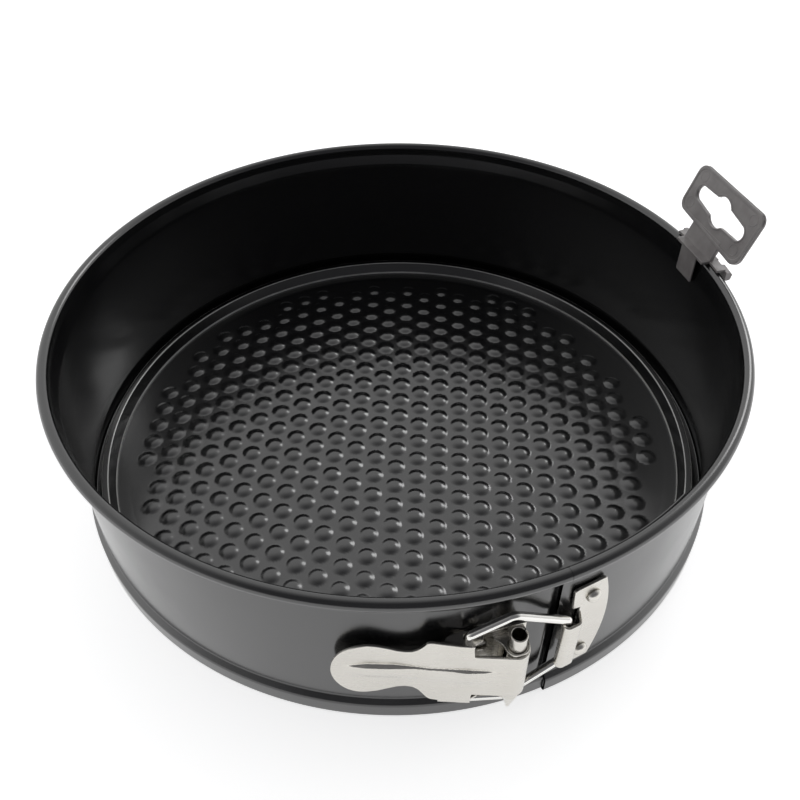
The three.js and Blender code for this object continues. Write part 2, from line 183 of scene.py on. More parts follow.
def coated_steel(name, edges=()):
    material, shader = new_material(name, (0.004, 0.004, 0.0045), 0, 0.2, 1.85)
    grain = noise(material, 900, 2)
    tint(material, shader, noise(material, 60), (0.0035, 0.0037, 0.0042), (0.006, 0.006, 0.0062))
    rough = spread_value(material, noise(material, 45, 4), 0.17, 0.24)
    material.node_tree.links.new(rough, shader.inputs["Roughness"])
    bump(material, shader, grain, 0.0000025)
    if edges:
        painted_edge_highlights(material, shader, edges)
    return material


def nickel(name, low, high, rough_low, rough_high, stretch):
    material, shader = new_material(name, high, 1, rough_low)
    lines = noise(material, 420, 3, stretch)
    tint(material, shader, noise(material, 70), low, high)
    rough = spread_value(material, lines, rough_low, rough_high)
    material.node_tree.links.new(rough, shader.inputs["Roughness"])
    bump(material, shader, lines, 0.0000008)
    return material


def moulded_plastic():
    material, shader = new_material("hanger_plastic", (0.19, 0.18, 0.178), 0, 0.42)
    tint(material, shader, noise(material, 130, 4), (0.13, 0.115, 0.118), (0.36, 0.345, 0.335))
    rough = spread_value(material, noise(material, 220, 3), 0.32, 0.5)
    material.node_tree.links.new(rough, shader.inputs["Roughness"])
    bump(material, shader, noise(material, 500, 4), 0.00006)
    return material


COATED = coated_steel("nonstick_steel")
# Radius and half width of each painted highlight ring on the step edges.
BASE_HIGHLIGHT_RINGS = ((117.8, 0.18), (120.3, 0.2), (BASE_R - 0.4, 0.24))
COATED_BASE = coated_steel("nonstick_steel_base", BASE_HIGHLIGHT_RINGS)
SHEET_NICKEL = nickel(
    "nickel_steel", (0.61, 0.588, 0.54), (0.71, 0.69, 0.645), 0.23, 0.29, (0.25, 0.25, 1.2)
)
WIRE_NICKEL = nickel("nickel_wire", (0.74, 0.73, 0.7), (0.86, 0.85, 0.82), 0.1, 0.2, (0.3, 0.3, 0.3))
PLASTIC = moulded_plastic()


# ---- Mesh tools ----
class Shell:
    """Vertices, faces and a normal for each face corner, gathered from grids and caps."""

    def __init__(self):
        self.points, self.faces, self.normals, self.count = [], [], [], 0
        self.caps = []

    def add_points(self, points):
        points = np.asarray(points, float).reshape(-1, 3)
        first = self.count
        self.points.append(points)
        self.count += len(points)
        return first

    def grid(self, points, normals, wrap_u=False, wrap_v=False):
        """Faces between the neighbours of points[u, v]; gives back the grid of vertex indices."""
        nu, nv = points.shape[:2]
        index = self.add_points(points) + np.arange(nu * nv).reshape(nu, nv)
        flat = normals.reshape(-1, 3)
        first = index[0, 0]
        us = range(nu if wrap_u else nu - 1)
        vs = range(nv if wrap_v else nv - 1)
        for u in us:
            for v in vs:
                u1, v1 = (u + 1) % nu, (v + 1) % nv
                face = (index[u, v], index[u1, v], index[u1, v1], index[u, v1])
                self.faces.append([int(i) for i in face])
                self.normals.extend(flat[i - first] for i in face)
        return index

    def cap(self, loop, normal):
        """One flat face on a loop of vertices, with sharp edges."""
        self.caps.append(len(self.faces))
        self.faces.append([int(i) for i in loop])
        self.normals.extend([normal] * len(loop))

    def build(self, name, material, matrix=None):
        points = np.concatenate(self.points) * MM
        normals = np.array(self.normals, float)
        if matrix is not None:
            m = np.array(matrix)
            points = (points / MM @ m[:3, :3].T + m[:3, 3]) * MM
            normals = normals @ m[:3, :3].T
        normals /= np.maximum(np.linalg.norm(normals, axis=1, keepdims=True), FINE)
        mesh = bpy.data.meshes.new(name)
        mesh.from_pydata(points.tolist(), [], self.faces)
        mesh.polygons.foreach_set("use_smooth", [True] * len(mesh.polygons))
        mesh.update()
        for face in self.caps:
            for corner in mesh.polygons[face].loop_indices:
                mesh.edges[mesh.loops[corner].edge_index].use_edge_sharp = True
        mesh.normals_split_custom_set(normals.tolist())
        mesh.materials.append(material)
        made = bpy.data.objects.new(name, mesh)
        bpy.context.scene.collection.objects.link(made)
        return made


def grid_normals(points, wrap_u, wrap_v):
    """Normals of a grid from its neighbours; outwards is du x dv."""

    def step(axis, wrap):
        if wrap:
            return np.roll(points, -1, axis) - np.roll(points, 1, axis)
        return np.gradient(points, axis=axis)

    normal = np.cross(step(0, wrap_u), step(1, wrap_v))
    return normal / np.maximum(np.linalg.norm(normal, axis=2, keepdims=True), FINE)


def rounded_path(corners, radii, steps=6):
    """A polyline with its inner corners rounded."""
    corners = [np.array(c, float) for c in corners]
    path = [corners[0]]
    for i in range(1, len(corners) - 1):
        before, at, after = corners[i - 1 : i + 2]
        into = (before - at) / np.linalg.norm(before - at)
        out = (after - at) / np.linalg.norm(after - at)
        half = math.acos(max(-1.0, min(1.0, float(into @ out)))) / 2
        radius = radii[i - 1]
        reach = radius / math.tan(half)
        centre = at + (into + out) / np.linalg.norm(into + out) * radius / math.sin(half)
        a, b = at + into * reach - centre, at + out * reach - centre
        for k in range(steps + 1):
            t = k / steps
            p = a * (1 - t) + b * t
            path.append(centre + p / np.linalg.norm(p) * radius)
    path.append(corners[-1])
    return np.array(path)


def densify(path, longest):
    """The path with points added, so that no step is longer than the given length."""
    out = [path[0]]
    for a, b in zip(path[:-1], path[1:]):
        n = max(1, math.ceil(np.linalg.norm(b - a) / longest))
        out.extend(a + (b - a) * k / n for k in range(1, n + 1))
    return np.array(out)


def sheet_loop(path, half):
    """The closed outline of a sheet that follows a path, with rounded edges."""
    tangent = np.gradient(path, axis=0)
    tangent /= np.linalg.norm(tangent, axis=1, keepdims=True)
    side = np.stack([tangent[:, 1], -tangent[:, 0]], axis=1)

    def edge(at, along, across):
        turns = [math.pi * k / 6 for k in range(1, 6)]
        return [at + half * (across * math.cos(a) + along * math.sin(a)) for a in turns]

    loop = list(path + side * half)
    loop += edge(path[-1], tangent[-1], side[-1])
    loop += list((path - side * half)[::-1])
    loop += edge(path[0], -tangent[0], -side[0])
    return np.array(loop)


def merge(parts, name):
    """One object from several."""
    bpy.ops.object.select_all(action="DESELECT")
    for part in parts:
        part.select_set(True)
    bpy.context.view_layer.objects.active = parts[0]
    bpy.ops.object.join()
    parts[0].name = name
    return parts[0]


def plate(name, material, outline, thickness, edge, matrix, holes=()):
    """A flat plate with rounded edges: outline in x and y, thickness from z = 0 up."""
    curve = bpy.data.curves.new(name, "CURVE")
    curve.dimensions = "2D"
    curve.fill_mode = "BOTH"
    curve.extrude = (thickness / 2 - edge) * MM
    curve.bevel_depth = edge * MM
    curve.bevel_resolution = 2
    curve.offset = -edge * MM
    for ring in [outline, *holes]:
        spline = curve.splines.new("POLY")
        spline.points.add(len(ring) - 1)
        for point, (x, y) in zip(spline.points, ring):
            point.co = (x * MM, y * MM, 0, 1)
        spline.use_cyclic_u = True
    holder = bpy.data.objects.new(name, curve)
    bpy.context.scene.collection.objects.link(holder)
    bpy.context.view_layer.update()
    mesh = bpy.data.meshes.new_from_object(holder.evaluated_get(bpy.context.evaluated_depsgraph_get()))
    bpy.data.objects.remove(holder)
    move = Matrix(matrix).to_3x3().to_4x4()
    move.translation = Vector(np.array(matrix)[:3, 3] * MM)
    mesh.transform(move @ Matrix.Translation((0, 0, thickness / 2 * MM)))
    mesh.materials.clear()
    mesh.materials.append(material)
    mesh.polygons.foreach_set("use_smooth", [True] * len(mesh.polygons))
    mesh.set_sharp_from_angle(angle=math.radians(50))
    made = bpy.data.objects.new(name, mesh)
    bpy.context.scene.collection.objects.link(made)
    weld(made)
    return made


def weld(made):
    """Shades flat faces flat and rounds only the edges."""
    made.modifiers.new("weld", "WELD").merge_threshold = 0.00001
    made.modifiers.new("normals", "WEIGHTED_NORMAL").keep_sharp = True


def smooth_outline(corners, radii, steps=5):
    """A closed outline with its corners rounded; radii is one number or one for each corner."""
    n = len(corners)
    if not isinstance(radii, (list, tuple)):
        radii = [radii] * n
    ring = []
    for i in range(n):
        part = rounded_path([corners[i - 1], corners[i], corners[(i + 1) % n]], [radii[i]], steps)
        ring.extend(part[1:-1])
    return ring


def frame_matrix(x_axis, y_axis, z_axis, at):
    m = np.eye(4)
    m[:3, 0], m[:3, 1], m[:3, 2], m[:3, 3] = x_axis, y_axis, z_axis, at
    return m


def turn_z(angle):
    c, s = math.cos(angle), math.sin(angle)
    m = np.eye(4)
    m[:2, :2] = [[c, -s], [s, c]]
    return m


def move(x, y, z):
    m = np.eye(4)
    m[:3, 3] = (x, y, z)
    return m


def wall_frame(x, y, radius, height):
    """x round to the right, y into the pan, z up, with its origin on the wall."""
    return turn_z(math.atan2(x, -y)) @ move(0, -radius, height)


# ---- The band ----
FLARE_FROM, FLARE_TO = 60.0, 65.5  # heights between which the wall flares out to the rim
RIM_EASE = 6.5
FOOT_IN, FOOT_OUT, FOOT_HEIGHT, FOOT_TOP = 120.6, 1.8, 7.0, 9.4
FOOT_EASE_FROM, FOOT_EASE = 6.0, 4.0
BEAD_TURNS = (180, -126)
BACK_EASE_FROM, BACK_EASE = math.radians(26), math.radians(114)
SWELL, SWELL_FROM, SWELL_LENGTH = 0.9, -12.4, 7.4
STEP_FROM, STEP_LENGTH = -4.9, 2.9
STEP_FINE_FROM = -13.0
TONGUE_Z = (10.4, HEIGHT - 4.5)
QUARTER = math.pi / 2
LEFT_END, RIGHT_END = FRONT_LEFT_X / WALL, FRONT_RIGHT_X / WALL


def band_path():
    """Middle of the sheet in [radius, height]: foot, wall, flare and open curl of the rim."""
    cx, cz = RIM - BEAD, HEIGHT - BEAD
    curl = BEAD - SHEET / 2
    foot = rounded_path(
        [
            [FOOT_IN + SHEET / 2, SHEET / 2],
            [WALL + FOOT_OUT, SHEET / 2],
            [WALL + FOOT_OUT, FOOT_HEIGHT],
            [WALL, FOOT_TOP],
            [WALL, FLARE_FROM],
            [cx - curl, FLARE_TO],
            [cx - curl, cz],
        ],
        [1.2, 1.4, 1.6, 9.0, 4.0],
        6,
    )
    turns = np.radians(np.linspace(*BEAD_TURNS, 30))
    bead = np.stack([cx + curl * np.cos(turns), cz + curl * np.sin(turns)], axis=1)
    return np.concatenate([densify(foot, 9)[:-1], bead])


def ease(t):
    """From 0 to 1 as t goes from 0 to 1, with level ends."""
    return 0.5 - 0.5 * np.cos(math.pi * np.clip(t, 0, 1))


def below_flare(height):
    """1 on the wall, easing to 0 where it flares out to the rim."""
    return 1 - ease((height - FLARE_FROM + 1) / RIM_EASE)


def on_wall(height):
    """1 on the wall between the foot and the flare, 0 on the foot and the rim."""
    return ease((height - FOOT_EASE_FROM) / FOOT_EASE) * below_flare(height)


def right_offset(angle, height):
    """The right half stands out over the left half's end, and eases back behind it."""
    away = OVERLAP * (1 - ease((angle - BACK_EASE_FROM) / BACK_EASE))
    return away[:, None] * below_flare(height)[None, :]


def left_offset(angle, height):
    """The left half swells a little and steps in just before it runs under the right half."""
    x = angle * WALL
    swell = SWELL * ease((x - SWELL_FROM) / SWELL_LENGTH) * (1 - ease((x - STEP_FROM) / STEP_LENGTH))
    return swell[:, None] * on_wall(height)[None, :]


def no_offset(angle, height):
    return np.zeros((len(angle), len(height)))


def front_angles():
    """Angles of the left front strip: close together where the sheet steps in."""
    fine_from = STEP_FINE_FROM / WALL
    coarse = np.linspace(-QUARTER, fine_from, 160)
    return np.concatenate([coarse, np.linspace(fine_from, LEFT_END, 60)[1:]])


def strip_points(loop, angles, offset):
    """A section turned about the pan's middle, moved out by the offset; angle 0 is the front."""
    radius = loop[None, :, 0] + offset(angles, loop[:, 1])
    return np.stack(
        [
            radius * np.sin(angles)[:, None],
            -radius * np.cos(angles)[:, None],
            np.broadcast_to(loop[None, :, 1], radius.shape),
        ],
        axis=2,
    )


def swept(angles, offset, loop, shell=None):
    """A band strip whose normals also follow the change of offset round the pan."""
    shell = shell or Shell()
    small = 1e-4
    points = strip_points(loop, angles, offset)
    along = strip_points(loop, angles + small, offset) - strip_points(loop, angles - small, offset)
    across = np.roll(points, -1, 1) - np.roll(points, 1, 1)
    normals = np.cross(along, across)
    normals /= np.maximum(np.linalg.norm(normals, axis=2, keepdims=True), FINE)
    index = shell.grid(points, normals, wrap_v=True)
    shell.cap(index[0, ::-1], (-math.cos(angles[0]), -math.sin(angles[0]), 0))
    shell.cap(index[-1], (math.cos(angles[-1]), math.sin(angles[-1]), 0))
    return shell


band_loop = sheet_loop(band_path(), SHEET / 2)
left_shell = swept(front_angles(), left_offset, band_loop)
tongue_path = densify(np.array([[WALL, z] for z in TONGUE_Z]), 9)
tongue_end = math.asin(TONGUE_X / WALL)
tongue_angles = np.linspace(LEFT_END, tongue_end, 60)
swept(tongue_angles, no_offset, sheet_loop(tongue_path, SHEET / 2), left_shell)
band_left = left_shell.build("band_front_left", COATED)
right_shell = swept(np.linspace(RIGHT_END, QUARTER, 200), right_offset, band_loop)
band_right = right_shell.build("band_front_right", COATED)
back_shell = swept(np.linspace(QUARTER, 3 * QUARTER, 361), right_offset, band_loop)
band_back = back_shell.build("band_back", COATED)
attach(band_left, "band_left")
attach(band_right, "band_right")
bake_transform(band_back)
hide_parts("band_left")
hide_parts("band_right")


# ---- The base plate ----
PITCH = 10.105
LATTICE_TURN = math.radians(64.06)
LATTICE_AT = (-4.63, 9.05)
FIELD = 107.0  # domes have their middles inside this radius
DOME_R = 4.3
DOME_H = 0.95
RING_STEP = 0.8
STEP_FOOT, STEP_TOP, SKIRT_Z = 117.7, 120.4, 1.0
UNDERSIDE_Z = 0.02


def dome_field(x, y):
    """Height and slopes of the raised domes at points in the plane of the base."""
    basis = np.array(
        [
            [math.cos(LATTICE_TURN), math.cos(LATTICE_TURN + math.pi / 3)],
            [math.sin(LATTICE_TURN), math.sin(LATTICE_TURN + math.pi / 3)],
        ]
    ) * PITCH
    flat = np.stack([x - LATTICE_AT[0], y - LATTICE_AT[1]])
    grid = np.floor(np.tensordot(np.linalg.inv(basis), flat, 1))
    best = np.full(x.shape, 1e9)
    dx, dy = np.zeros(x.shape), np.zeros(x.shape)
    for i in (0, 1):
        for j in (0, 1):
            shifted = grid + np.array([i, j]).reshape(2, *([1] * x.ndim))
            centre = np.tensordot(basis, shifted, 1)
            ax, ay = flat[0] - centre[0], flat[1] - centre[1]
            far = np.hypot(ax, ay)
            inside = np.hypot(centre[0] + LATTICE_AT[0], centre[1] + LATTICE_AT[1]) < FIELD
            nearer = (far < best) & inside
            best = np.where(nearer, far, best)
            dx, dy = np.where(nearer, ax, dx), np.where(nearer, ay, dy)
    ratio = np.clip((best / DOME_R) ** 2, 0, 1)
    t = 1 - ratio**1.5
    height = DOME_H * t * t
    slope = -6 * DOME_H * t * np.sqrt(ratio) / DOME_R**2
    return height, slope * dx, slope * dy


def ring_points(radius, height, count, normal=None, domes=0.0):
    """One ring of the base, with its normals: a fixed [radial, up] normal, or that of the domes."""
    angle = np.linspace(0, 2 * math.pi, count, endpoint=False)
    x, y = radius * np.cos(angle), radius * np.sin(angle)
    if normal is None:
        lift, sx, sy = dome_field(x, y)
        side = 1 if domes > 0 else -1
        normals = np.stack([-sx * side, -sy * side, np.full(count, side)], axis=1)
        z = height + lift
    else:
        radial, upward = normal
        normals = np.stack(
            [radial * np.cos(angle), radial * np.sin(angle), np.full(count, upward)], axis=1
        )
        z = np.full(count, height)
    normals = normals / np.linalg.norm(normals, axis=1, keepdims=True)
    return np.stack([x, y, z], axis=1), normals


def stitch(shell, a, b, na, nb):
    """Faces between two rings of indices whose counts are the same or differ by a factor of two."""
    ca, cb = len(a), len(b)
    if ca == cb:
        for i in range(ca):
            j = (i + 1) % ca
            shell.faces.append([a[i], b[i], b[j], a[j]])
            shell.normals.extend([na[i], nb[i], nb[j], na[j]])
        return
    if ca < cb:
        for i in range(ca):
            j, k, m, n = (i + 1) % ca, 2 * i, 2 * i + 1, (2 * i + 2) % cb
            shell.faces.append([a[i], b[k], b[m]])
            shell.normals.extend([na[i], nb[k], nb[m]])
            shell.faces.append([a[i], b[m], b[n], a[j]])
            shell.normals.extend([na[i], nb[m], nb[n], na[j]])
        return
    for i in range(cb):
        j, k, m, n = (i + 1) % cb, 2 * i, 2 * i + 1, (2 * i + 2) % ca
        shell.faces.append([b[i], a[m], a[k]])
        shell.normals.extend([nb[i], na[m], na[k]])
        shell.faces.append([b[i], b[j], a[n], a[m]])
        shell.normals.extend([nb[i], nb[j], na[n], na[m]])


def ring_count(radius, coarser=1):
    """Points on a ring: twice as many each time the radius has doubled."""
    radius = radius / coarser
    count = 90 if radius < 13 else 180 if radius < 26 else 360 if radius < 52 else 720
    return min(count, 720 // coarser)


def base_rings():
    """Rings from the middle of the top, over the edge, to the middle of the underside."""
    rings = []
    field_edge = FIELD + DOME_R + 1
    for k in range(1, int(field_edge / RING_STEP) + 1):
        radius = k * RING_STEP
        rings.append(ring_points(radius, SHEET, ring_count(radius), domes=1))
    rim = BASE_R - SHEET / 2
    outer = rounded_path(
        [
            [field_edge + 0.6, SHEET / 2],
            [STEP_FOOT, SHEET / 2],
            [STEP_TOP, LEDGE_Z - SHEET / 2],
            [rim, LEDGE_Z - SHEET / 2],
            [rim, SKIRT_Z + SHEET / 2],
        ],
        [0.6, 0.6, 0.5],
        7,
    )
    loop = sheet_loop(densify(outer, 3), SHEET / 2)
    along = np.roll(loop, -1, 0) - np.roll(loop, 1, 0)
    out = np.stack([-along[:, 1], along[:, 0]], axis=1)
    out /= np.linalg.norm(out, axis=1, keepdims=True)
    inner_edge_points = 5
    for (radius, height), normal in list(zip(loop, out))[:-inner_edge_points]:
        rings.append(ring_points(radius, height, 360, normal=normal))
    for k in range(int(field_edge / (2 * RING_STEP)), 0, -1):
        radius = 2 * k * RING_STEP
        rings.append(ring_points(radius, UNDERSIDE_Z, ring_count(radius, 2), domes=-1))
    return rings


def base_plate():
    shell = Shell()
    rings = base_rings()
    indices = []
    for points, normals in rings:
        first = shell.add_points(points)
        indices.append(list(range(first, first + len(points))))
    for (a, b), (ra, rb) in zip(zip(indices, indices[1:]), zip(rings, rings[1:])):
        stitch(shell, a, b, ra[1], rb[1])
    shell.cap(indices[0], (0, 0, 1))
    shell.cap(indices[-1][::-1], (0, 0, -1))
    return shell.build("base_plate_pressed", COATED_BASE)


base = base_plate()
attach(base, "base")
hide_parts("base_plate")


# ---- Frames of the latch ----
STANDOFF = 6.0  # from the wall to the pin's middle
LEVER_TILT = math.radians(18.6)
wall_pin = wall_frame(PIN_AT[0], PIN_AT[1], math.hypot(PIN_AT[0], PIN_AT[1]) - STANDOFF, LATCH_Z)
at_pin = wall_pin @ move(0, -STANDOFF, 0)
lever_frame = at_pin @ turn_z(math.pi - LEVER_TILT)
upper_rivet = sum(cad_mm("catch_rivet_upper")) / 2
lower_rivet = sum(cad_mm("catch_rivet_lower")) / 2
CATCH_R = WALL + SHEET / 2 + OVERLAP
CATCH_Z = (upper_rivet[2] + lower_rivet[2]) / 2
wall_catch = wall_frame(upper_rivet[0], upper_rivet[1], CATCH_R, CATCH_Z)
RIVET_Z = upper_rivet[2] - CATCH_Z
# A plate's own x, y and z in a wall frame: x along the wall, y up, z out of the wall.
ON_WALL = frame_matrix((1, 0, 0), (0, 0, 1), (0, -1, 0), (0, 0, 0))


# ---- Latch lever ----
LEVER_LENGTH = 55.0
TIP_DROP = 1.9
LEVER_SHEET = 1.0
LEVER_EDGE = 0.3
CURL_R, CURL_END = 3.5, math.radians(325)
LINK_AT = (14.5, 0.6)  # the wire's ends, from the pin
LINK_HOLE_R = 1.5

# Distance from the pin, then how far the sheet reaches up and down from the pin's middle.
LEVER_EDGES = np.array(
    [
        [-30, 9.6, 12.8],
        [12.3, 9.6, 12.8],
        [12.7, 15.2, 18.2],
        [16.5, 15.3, 18.2],
        [24.9, 16.6, 16.6],
        [26.0, 16.2, 15.6],
        [27.4, 14.0, 13.0],
        [28.6, 12.5, 10.9],
        [30.4, 11.5, 9.3],
        [32.6, 11.3, 8.9],
        [35, 11.7, 9.4],
        [38, 12.8, 10.9],
        [41, 13.8, 12.3],
        [43.5, 14.2, 12.8],
    ]
)


def lever_span(x):
    """Middle and half height of the lever's sheet at a distance from the pin."""
    start, up, down = LEVER_EDGES[-1]
    tip = np.clip((x - start) / (LEVER_LENGTH - start), 0, 1)
    up = np.interp(x, LEVER_EDGES[:, 0], LEVER_EDGES[:, 1])
    down = np.interp(x, LEVER_EDGES[:, 0], LEVER_EDGES[:, 2])
    narrowing = np.sqrt(1 - tip**2.15)
    middle = (up - down) / 2 - TIP_DROP * tip
    return middle, (up + down) / 2 * narrowing


def smoothstep(t):
    t = np.clip(t, 0, 1)
    return t * t * (3 - 2 * t)


# Distance from the pin, then the heights of the upper and the lower pressed line.
PRESS_LINES = np.array(
    [[8, 2.4, -7.4], [14, 2.4, -7.4], [25, 2.6, -7.0], [36, 4.2, -5.4], [44, 3.9, -5.4], [50, 2.6, -6.0]]
)
# Distance from the pin, then how far the pressed part stands out.
PRESS_RISE = np.array(
    [[5, 0], [9, 0.6], [14, 0.9], [19, 0.6], [24, 0.5], [30, 0.6], [36, 1.2], [44, 1.2], [48, 0.6], [51, 0]]
)
# Distance from the pin, then the width of the upper line's slope.
PRESS_SLOPE = np.array([[5, 0.5], [12, 0.8], [20, 0.45], [30, 0.45], [38, 1.15], [51, 0.7]])
LOWER_SLOPE = 6.0
PAD_DISH, PAD_FROM, PAD_LENGTH, PAD_HALF = 0.55, 36, 14, 13


def lever_press(x, z):
    """How far the pressed middle of the lever stands out, and the slight dish of the pad."""
    upper = np.interp(x, PRESS_LINES[:, 0], PRESS_LINES[:, 1])
    lower = np.interp(x, PRESS_LINES[:, 0], PRESS_LINES[:, 2])
    rise = np.interp(x, PRESS_RISE[:, 0], PRESS_RISE[:, 1])
    slope = np.interp(x, PRESS_SLOPE[:, 0], PRESS_SLOPE[:, 1])
    band = smoothstep((upper - z) / slope) * smoothstep((z - lower) / LOWER_SLOPE)
    dish = PAD_DISH * smoothstep((x - PAD_FROM) / PAD_LENGTH) * np.clip(np.abs(z) / PAD_HALF, 0, 1) ** 2
    return rise * band + dish


def lever_edge(half):
    """Rounding of the sheet's edges, smaller where the lever narrows to its tip."""
    return min(LEVER_EDGE, half / 2)


def lever_section(middle, half, press):
    """The closed section of the lever's sheet as (height, out) pairs, with rounded edges."""
    edge = lever_edge(half)
    flat = half - edge
    sheet = LEVER_SHEET / 2
    turns = [math.pi / 2 * k / 4 for k in range(1, 4)]
    across = np.linspace(-1, 1, len(press)) * flat
    low, high = press[0], press[-1]
    ring = [(z, sheet + p) for z, p in zip(across, press)]
    ring += [(flat + edge * math.sin(c), high + sheet - edge + edge * math.cos(c)) for c in turns]
    ring += [(half, high)]
    ring += [(flat + edge * math.cos(c), high - sheet + edge - edge * math.sin(c)) for c in turns]
    ring += [(z, p - sheet) for z, p in zip(across[::-1], press[::-1])]
    ring += [(-flat - edge * math.sin(c), low - sheet + edge - edge * math.cos(c)) for c in turns]
    ring += [(-half, low)]
    ring += [(-flat - edge * math.cos(c), low + sheet - edge + edge * math.sin(c)) for c in turns]
    return [(z + middle, out) for z, out in ring]


def lever_plate():
    """The lever's one sheet, from the tip of the pad to the end of the curl round the pin."""
    tip = np.linspace(LEVER_LENGTH - 0.02, 50, 26)
    step = [12.35, 12.45, 12.55, 12.65]  # where the sheet widens, close to LEVER_EDGES' step
    straight = np.sort(np.concatenate([tip, np.linspace(50, 0, 112)[1:], step]))[::-1]
    turns = np.linspace(QUARTER, CURL_END, 44)[1:]
    at = [(x, CURL_R, 0.0, 1.0) for x in straight]
    at += [(CURL_R * math.cos(a), CURL_R * math.sin(a), math.cos(a), math.sin(a)) for a in turns]
    rows = []
    for i, (x, y, nx, ny) in enumerate(at):
        flat = i < len(straight)
        middle, half = (float(v) for v in lever_span(np.array(x if flat else 0.0)))
        z = np.linspace(-1, 1, 121) * (half - lever_edge(half))
        press = lever_press(np.full(z.shape, x), z + middle) if flat else np.zeros(z.shape)
        rows.append([(x + nx * t, y + ny * t, zz) for zz, t in lever_section(middle, half, press)])
    points = np.array(rows)
    shell = Shell()
    index = shell.grid(points, grid_normals(points, False, True), wrap_v=True)
    shell.cap(index[0, ::-1], (1, 0, 0))
    shell.cap(index[-1], (-math.sin(CURL_END), math.cos(CURL_END), 0))
    return shell.build("latch_lever_plate", SHEET_NICKEL, lever_frame)


def circle(radius, x, y, count=28):
    """A closed outline of points on a circle."""
    turns = [2 * math.pi * k / count for k in range(count)]
    return [(x + radius * math.cos(a), y + radius * math.sin(a)) for a in turns]


lever = lever_plate()
ear_outline = smooth_outline(
    [(12.5, 3.9), (22.6, 3.9), (20.6, 0.6), (16.0, -1.5), (9.8, -1.6), (10.2, 1.6), (12.5, 3.0)],
    [0.1, 0.1, 1.2, 1.6, 1.6, 0.8, 0.3],
)
LEVER_EARS_Z = (14.2, -18.2)
ears = [
    plate(
        "lever_ear",
        SHEET_NICKEL,
        ear_outline,
        LEVER_SHEET,
        0.18,
        lever_frame @ move(0, 0, z),
        [circle(LINK_HOLE_R, *LINK_AT)],
    )
    for z in LEVER_EARS_Z
]
lever_ears = merge(ears, "latch_lever_ears")
for piece in (lever, lever_ears):
    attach(piece, "lever")
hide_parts("latch_lever")


# ---- Latch bracket, its rivets and the hinge pin ----
PLATE_SHEET = 1.0
PLATE_GAP = 0.3
PLATE_OUT = PLATE_GAP + PLATE_SHEET  # a plate's outer face, from the wall
BRACKET_LEFT, BRACKET_RIGHT, BRACKET_HALF = -14, 4.6, 13.8
BRACKET_EARS_Z = (9.9, -13.9)
EAR_HOLE_R = 2.85
bracket_outline = smooth_outline(
    [
        (BRACKET_LEFT, -BRACKET_HALF),
        (BRACKET_RIGHT, -BRACKET_HALF),
        (BRACKET_RIGHT, BRACKET_HALF),
        (BRACKET_LEFT, BRACKET_HALF),
    ],
    [2.5, 0.2, 0.2, 2.5],
)
bracket_parts = [
    plate(
        "bracket",
        SHEET_NICKEL,
        bracket_outline,
        PLATE_SHEET,
        0.2,
        wall_pin @ move(0, -PLATE_GAP, 0) @ ON_WALL,
    )
]
ear_shape = smooth_outline(
    [(-6, -0.4), (-6, -1.4), (-3.9, -5.0), (-3.3, -9.3), (3.3, -9.3), (3.9, -5.0), (4.6, -0.4)],
    [0.1, 0.8, 1.5, 2.9, 2.9, 1.5, 0.1],
)
for z in BRACKET_EARS_Z:
    bracket_parts.append(
        plate(
            "bracket_ear",
            SHEET_NICKEL,
            ear_shape,
            PLATE_SHEET,
            0.18,
            wall_pin @ move(0, 0, z),
            [circle(EAR_HOLE_R, 0, -STANDOFF)],
        )
    )
bracket = merge(bracket_parts, "latch_bracket_formed")
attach(bracket, "band_left")
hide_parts("latch_bracket")


def turned_solid(name, material, profile, matrix, count=40, opening=0.0):
    """A [radius, height] profile turned about the frame's z; with an opening it stays a slit tube."""
    shell = Shell()
    loop = np.array(profile, float)
    closed = opening > 0
    angles = np.linspace(opening, 2 * math.pi - opening, count, endpoint=closed)
    points = np.stack(
        [
            loop[None, :, 0] * np.cos(angles)[:, None],
            loop[None, :, 0] * np.sin(angles)[:, None],
            np.broadcast_to(loop[None, :, 1], (count, len(loop))),
        ],
        axis=2,
    )
    if closed:
        small = 1e-4
        across = np.roll(points, -1, 1) - np.roll(points, 1, 1)
        along = np.stack(
            [
                -loop[None, :, 0] * np.sin(angles)[:, None],
                loop[None, :, 0] * np.cos(angles)[:, None],
                np.zeros((count, len(loop))),
            ],
            axis=2,
        )
        normals = np.cross(along, across)
        normals /= np.maximum(np.linalg.norm(normals, axis=2, keepdims=True), FINE)
        index = shell.grid(points, normals, wrap_v=True)
        a = angles[0]
        shell.cap(index[0, ::-1], (math.sin(a), -math.cos(a), 0))
        a = angles[-1]
        shell.cap(index[-1], (-math.sin(a), math.cos(a), 0))
    else:
        slope = np.gradient(loop, axis=0)
        out = np.stack([slope[:, 1], -slope[:, 0]], axis=1)
        out /= np.maximum(np.linalg.norm(out, axis=1, keepdims=True), FINE)
        normals = np.stack(
            [
                out[None, :, 0] * np.cos(angles)[:, None],
                out[None, :, 0] * np.sin(angles)[:, None],
                np.broadcast_to(out[None, :, 1], (count, len(loop))),
            ],
            axis=2,
        )
        index = shell.grid(points, normals, wrap_u=True)
        shell.cap(index[::-1, 0], (0, 0, -1))
        if loop[-1, 0] > 0.02:
            shell.cap(index[:, -1], (0, 0, 1))
    return shell.build(name, material, matrix)


def rivet(name, matrix, head, dome, shank, end):
    """A domed head with a rolled edge, on a shank that ends flush inside the wall. z is out of the wall."""
    face, lip = PLATE_OUT + 0.02, 0.12
    profile = [(shank * 0.98, end), (shank, end + 0.1), (shank, face)]
    profile += [(head * 0.9, face), (head, face + lip)]
    for k in range(1, 13):
        a = math.pi / 2 * k / 12
        profile.append((max(head * math.cos(a), 0.015), face + lip + (dome - lip) * math.sin(a)))
    return turned_solid(name, SHEET_NICKEL, profile, matrix @ ON_WALL)


